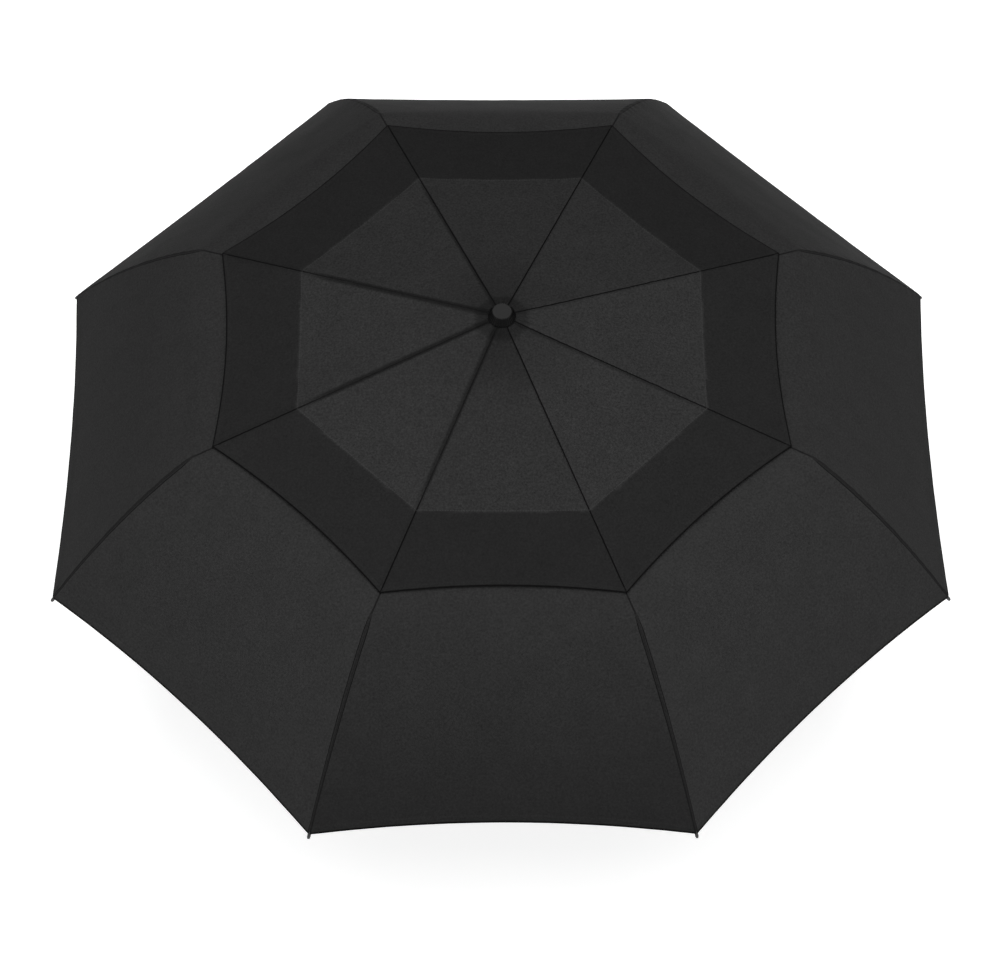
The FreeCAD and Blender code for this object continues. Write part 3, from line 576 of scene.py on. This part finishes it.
INNER_CLOTH = fabric_material("canopy_cloth", 0.0208, 0.59, 0.46, 0.0011)
LOWER_CLOTH = fabric_material("lower_cloth", 0.0208, 0.80, 0.36, 0.0015)


def half_panel(name, k, side, upper, inner, outer, **options):
    """The cloth on one side of a rib, between two lines across it."""
    sheet = Sheet()
    fill(sheet, Gore(k, side, upper), inner, outer, UPPER_COLUMNS if upper else LOWER_COLUMNS, **options)
    obj = sheet.build(f"{name}_{k + 1}_{'ab'[side > 0]}")
    obj.data.materials.append(INNER_CLOTH if upper else LOWER_CLOTH)
    return obj


def fold_beside(obj, body):
    """Attaches the half panel to its rib's body, with a mesh of its own."""
    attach(obj, body)
    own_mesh(obj)


def make_apex():
    sheet = Sheet()
    for k in range(RIBS):
        for side in (1, -1):
            fill(sheet, Gore(k, side, True), line(APEX_R), line(DISC_R), UPPER_COLUMNS, double=np.ones_like)
    obj = sheet.build("apex_disc")
    obj.data.materials.append(INNER_CLOTH)
    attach(obj, "top_shaft")
    return obj


def upper_double(rho):
    patch = 0.85 * (1 - smooth(rho / COS_HALF, PATCH_R - 0.0030, PATCH_R + 0.0030))
    band = smooth(rho / COS_HALF, VENT_SEAM_R - 0.0004, VENT_SEAM_R + 0.0004)
    return np.maximum(patch, band)


def make_upper(k, side):
    rib = f"top_rib_{k + 1}"
    panel = half_panel("upper_panel", k, side, True, line(DISC_R), line(FIRST_JOINT_R), double=upper_double)
    fold_beside(panel, rib)
    rib = f"middle_rib_{k + 1}"
    flap = half_panel(
        "upper_flap", k, side, True, line(FIRST_JOINT_R), bowed(UPPER_CORNER_R, UPPER_BOW),
        hem=True, double=upper_double,
    )
    fold_beside(flap, rib)


def make_lower_inner(k, side):
    rib = f"middle_rib_{k + 1}"
    panel = half_panel("lower_panel", k, side, False, line(LOWER_INNER_R), line(SECOND_JOINT_R))
    fold_beside(panel, rib)
    return panel


def tail_frame(gore):
    """Point over the second joint, direction down the tail, and the direction in the cloth square to it."""
    start = gore.raw(np.array([SECOND_JOINT_R * COS_HALF]), np.array([1.0]))[0]
    stop = gore.raw(np.array([HEM_R * COS_HALF]), np.array([1.0]))[0]
    down = (stop - start) / np.linalg.norm(stop - start)
    across = -gore.lat
    square = across - (across @ down) * down
    return start, down, square / np.linalg.norm(square), across


def square_line(gore):
    """The line across the half gore that starts at the second joint, square to the tail rib."""
    start, down, _, across = tail_frame(gore)
    lean = -(across @ down)
    table_tau = np.linspace(0, 1, 60)
    rhos = []
    for tau in table_tau:
        low, high = SECOND_JOINT_R * COS_HALF, 0.42
        for _ in range(40):
            middle = (low + high) / 2
            r = middle / COS_HALF
            z = float(lower_profile(np.array(middle), np.array(1.0)))
            rib_point = np.array([r, z])
            origin = np.array([SECOND_JOINT_R, start[2]])
            flat_down = np.array([math.hypot(down[0], down[1]), down[2]])
            run = (rib_point - origin) @ flat_down
            if run < lean * middle * TAN_HALF * (1 - tau):
                low = middle
            else:
                high = middle
        rhos.append((low + high) / 2)
    rhos = np.array(rhos)
    return lambda tau: np.interp(np.asarray(tau, float), table_tau, rhos)


def make_tail(k, side):
    gore = Gore(k, side, False)
    start, down, square, across = tail_frame(gore)
    border = square_line(gore)
    tag = f"{k + 1}_{'ab'[side > 0]}"
    body = f"tail_rib_{k + 1}"
    joint = SECOND_JOINT_R * COS_HALF
    upper_part = Sheet()
    fill(upper_part, gore, line(SECOND_JOINT_R), border, LOWER_COLUMNS, rough_span=(joint, joint))
    gusset = upper_part.build(f"tail_gusset_{tag}")
    lower_part = Sheet()
    hem_line = bowed(HEM_R, HEM_BOW)
    fill(lower_part, gore, border, hem_line, LOWER_COLUMNS, hem=True, rough_span=(joint, HEM_R * COS_HALF))
    panel = lower_part.build(f"tail_panel_{tag}")
    for obj, axis, anchor, keep in (
        (gusset, across, start + GUSSET_OFFSET * across, GUSSET_KEEP),
        (panel, square, start, TAIL_KEEP),
    ):
        obj.data.materials.append(LOWER_CLOTH)
        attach(obj, body)
        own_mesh(obj)


def make_joint_patch(k):
    """Narrow patch under the cloth over the second joint."""
    sheet = Sheet()
    reach = 0.014
    gaps = np.array([0.0, 0.0004, 0.0010, 0.0018, 0.0035, 0.0070])
    rho = (SECOND_JOINT_R + np.linspace(-reach, reach, 17))[:, None] * COS_HALF * np.ones(len(gaps))
    flat = np.zeros_like(rho)
    for side in (1, -1):
        tau = 1 - gaps[None, :] / (rho * TAN_HALF)
        sheet.add(Gore(k, side, False), rho, tau, flat - 0.0003, flat, flat + 1, side > 0)
    obj = sheet.build(f"joint_patch_{k + 1}")
    obj.data.materials.append(LOWER_CLOTH)
    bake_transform(obj)


apex = make_apex()
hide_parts("upper_canopy")
for index in range(RIBS):
    for direction in (1, -1):
        make_upper(index, direction)
        lower = make_lower_inner(index, direction)
        if index == 0 and direction == 1:
            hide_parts("lower_canopy")
        make_tail(index, direction)
    make_joint_patch(index)

# ---- hard parts
CAP = cap_material()
NYLON = solid_material("nylon", 0.014, 0.42, bump=0.05, variation=0.10)
RUBBER = solid_material("soft_grip", 0.016, 0.62, scale=(1400.0, 1400.0, 1400.0), bump=0.5, variation=0.14,
                        specular=0.35, distance=0.00008)
GLOSS = solid_material("button_plastic", 0.022, 0.16, bump=0.01, variation=0.04, coat=0.3, rough_spread=0.03)
STEEL = solid_material("tube_steel", 0.30, 0.22, 1.0, (1.0, 1.0, 1.02), (900.0, 900.0, 12.0), 0.03, 0.04,
                       distance=0.00002, rough_spread=0.04)
RIB_PAINT = solid_material("rib_paint", 0.017, 0.38, scale=(500.0, 500.0, 500.0), bump=0.12, variation=0.12,
                           coat=0.15, distance=0.00008)
GLASS_ROD = solid_material("fibreglass", 0.014, 0.34, scale=(260.0, 260.0, 60.0), bump=0.10, variation=0.18,
                           distance=0.00006)
SPRING = solid_material("spring_steel", 0.42, 0.28, 1.0, (1.0, 0.99, 0.96), bump=0.05, variation=0.06)

paint(["ferrule_cap"], CAP)
paint(["notch_crown", "runner", "handle_collar", "handle_plug"], NYLON)
paint(["tube_socket", "lower_bush", "middle_bush"], NYLON)
paint([f"rib_tip_{i}" for i in range(1, RIBS + 1)], NYLON)
paint(["handle_shell"], RUBBER)
paint(["button"], GLOSS)
paint(["lower_tube", "middle_tube", "top_tube"], STEEL)
for part in ("top_rib", "middle_rib", "stretcher"):
    paint([f"{part}_{i}" for i in range(1, RIBS + 1)], RIB_PAINT)
paint([f"tail_rib_{i}" for i in range(1, RIBS + 1)], GLASS_ROD)
paint(["notch_wire", "latch"], SPRING)


# ---- coil springs
def make_coil(name, body, foot, along, length, radius, wire, turns):
    """A coil spring that rides on body, from its foot along a direction. Its end turns lie close together."""
    around, steps = 8, 16
    along = Vector(along)
    out = along.orthogonal().normalized()
    side = along.cross(out)
    turn = np.linspace(0, turns, turns * steps + 1)
    pace = 0.35 + smooth(np.minimum(turn, turns - turn), 0.8, 1.4)
    rise = np.concatenate([[0.0], np.cumsum((pace[1:] + pace[:-1]) / 2)])
    rise = wire / 2 + rise / rise[-1] * (length - wire)
    points = []
    for angle, height in zip(turn * 2 * math.pi, rise):
        ray = out * math.cos(angle) + side * math.sin(angle)
        for a in np.arange(around) * 2 * math.pi / around:
            reach = radius + wire / 2 * math.cos(a)
            points.append(Vector(foot) + ray * reach + along * (height + wire / 2 * math.sin(a)))
    faces = []
    for i in range(len(turn) - 1):
        for j in range(around):
            a, b = i * around + j, i * around + (j + 1) % around
            faces.append((a, a + around, b + around, b))
    last = (len(turn) - 1) * around
    faces += [tuple(range(around)), tuple(range(last, last + around))[::-1]]
    obj = make_mesh(name, points, faces)
    obj.data.materials.append(SPRING)
    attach(obj, body)
    return obj


def make_opening_springs():
    """The long spring inside the tubes, as two coils that meet halfway, one for each telescoping joint."""
    length = (SPRING_TOP - SPRING_FOOT) / 2
    bodies = ("handle", "middle_shaft")
    for index, joint in enumerate(("middle_tube_slide", "top_tube_slide")):
        foot = (0, 0, SPRING_FOOT + index * length)
        coil = make_coil(f"opening_coil_{index + 1}", bodies[index], foot, (0, 0, 1), length, *OPENING_COIL)
        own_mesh(coil)
        if index == 0:
            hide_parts("opening_spring")


def make_button_coil():
    foot = (0, BUTTON_COIL_FOOT_Y, BUTTON_COIL_Z)
    length = BUTTON_COIL_FOOT_Y - BUTTON_BACK_Y
    coil = make_coil("button_coil", "handle", foot, (0, -1, 0), length, *BUTTON_COIL)
    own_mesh(coil)
    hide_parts("button_spring")


make_opening_springs()
make_button_coil()


# ---- stage, light and camera
def add_floor():
    size = 40.0
    z = CAD_BOX[0].z - 0.0005
    corners = [(-size, -size, z), (size, -size, z), (size, size, z), (-size, size, z)]
    mesh = bpy.data.meshes.new("floor")
    mesh.from_pydata(corners, [], [(0, 1, 2, 3)])
    floor = bpy.data.objects.new("floor", mesh)
    SCENE.collection.objects.link(floor)
    material, tree, shader = new_material("floor_white")
    coords = node(tree, "ShaderNodeTexCoord")
    cloud = noise(tree, coords.outputs["Object"], 3.0, 2.0)
    tree.links.new(mixed(tree, cloud, grey(0.88), grey(0.90)), shader.inputs["Base Color"])
    shader.inputs["Roughness"].default_value = 0.9
    shader.inputs["Specular IOR Level"].default_value = 0.1
    shader.inputs["Emission Color"].default_value = (1, 1, 1, 1)
    shader.inputs["Emission Strength"].default_value = 0.55
    mesh.materials.append(material)


def add_area(name, place, target, size, power):
    data = bpy.data.lights.new(name, "AREA")
    data.shape = "RECTANGLE"
    data.size, data.size_y = size
    data.energy = power
    light = bpy.data.objects.new(name, data)
    light.location = place
    light.rotation_mode = "QUATERNION"
    light.rotation_quaternion = (Vector(target) - Vector(place)).to_track_quat("-Z", "Y")
    SCENE.collection.objects.link(light)


def add_world(strength):
    world = bpy.data.worlds.new("studio")
    world.use_nodes = True
    background = world.node_tree.nodes["Background"]
    background.inputs[0].default_value = (1, 1, 1, 1)
    background.inputs[1].default_value = strength
    SCENE.world = world


def add_camera():
    elevation, yaw, roll = math.radians(57.45), math.radians(-1.05), math.radians(0.84)
    distance, lens = 3.618, 115.92
    target = Vector((0.0004, 0.0, 0.3236))
    back = Vector((
        math.sin(yaw) * math.cos(elevation), -math.cos(yaw) * math.cos(elevation), math.sin(elevation)
    ))
    right = Vector((math.cos(yaw), math.sin(yaw), 0.0))
    up = back.cross(right)
    turned_right = right * math.cos(roll) + up * math.sin(roll)
    turned_up = up * math.cos(roll) - right * math.sin(roll)
    data = bpy.data.cameras.new("camera")
    data.sensor_width, data.lens = 36.0, lens
    data.clip_start, data.clip_end = 0.1, 60.0
    camera = bpy.data.objects.new("camera", data)
    camera.matrix_world = Matrix((
        (turned_right.x, turned_up.x, back.x, target.x + back.x * distance),
        (turned_right.y, turned_up.y, back.y, target.y + back.y * distance),
        (turned_right.z, turned_up.z, back.z, target.z + back.z * distance),
        (0, 0, 0, 1),
    ))
    SCENE.collection.objects.link(camera)
    SCENE.camera = camera


add_floor()
add_world(0.40)
add_area("top_soft", (0.0, -0.5, 3.2), (0, 0, 0.5), (2.2, 2.2), 68)
add_area("left_soft", (-2.6, -1.5, 1.9), (0, 0, 0.45), (2.0, 2.0), 22)
add_area("right_soft", (2.6, -1.5, 1.9), (0, 0, 0.45), (2.0, 2.0), 22)
add_camera()

SCENE.view_settings.view_transform = "Standard"
SCENE.view_settings.look = "None"
SCENE.view_settings.exposure = 0.0
SCENE.view_settings.gamma = 1.0
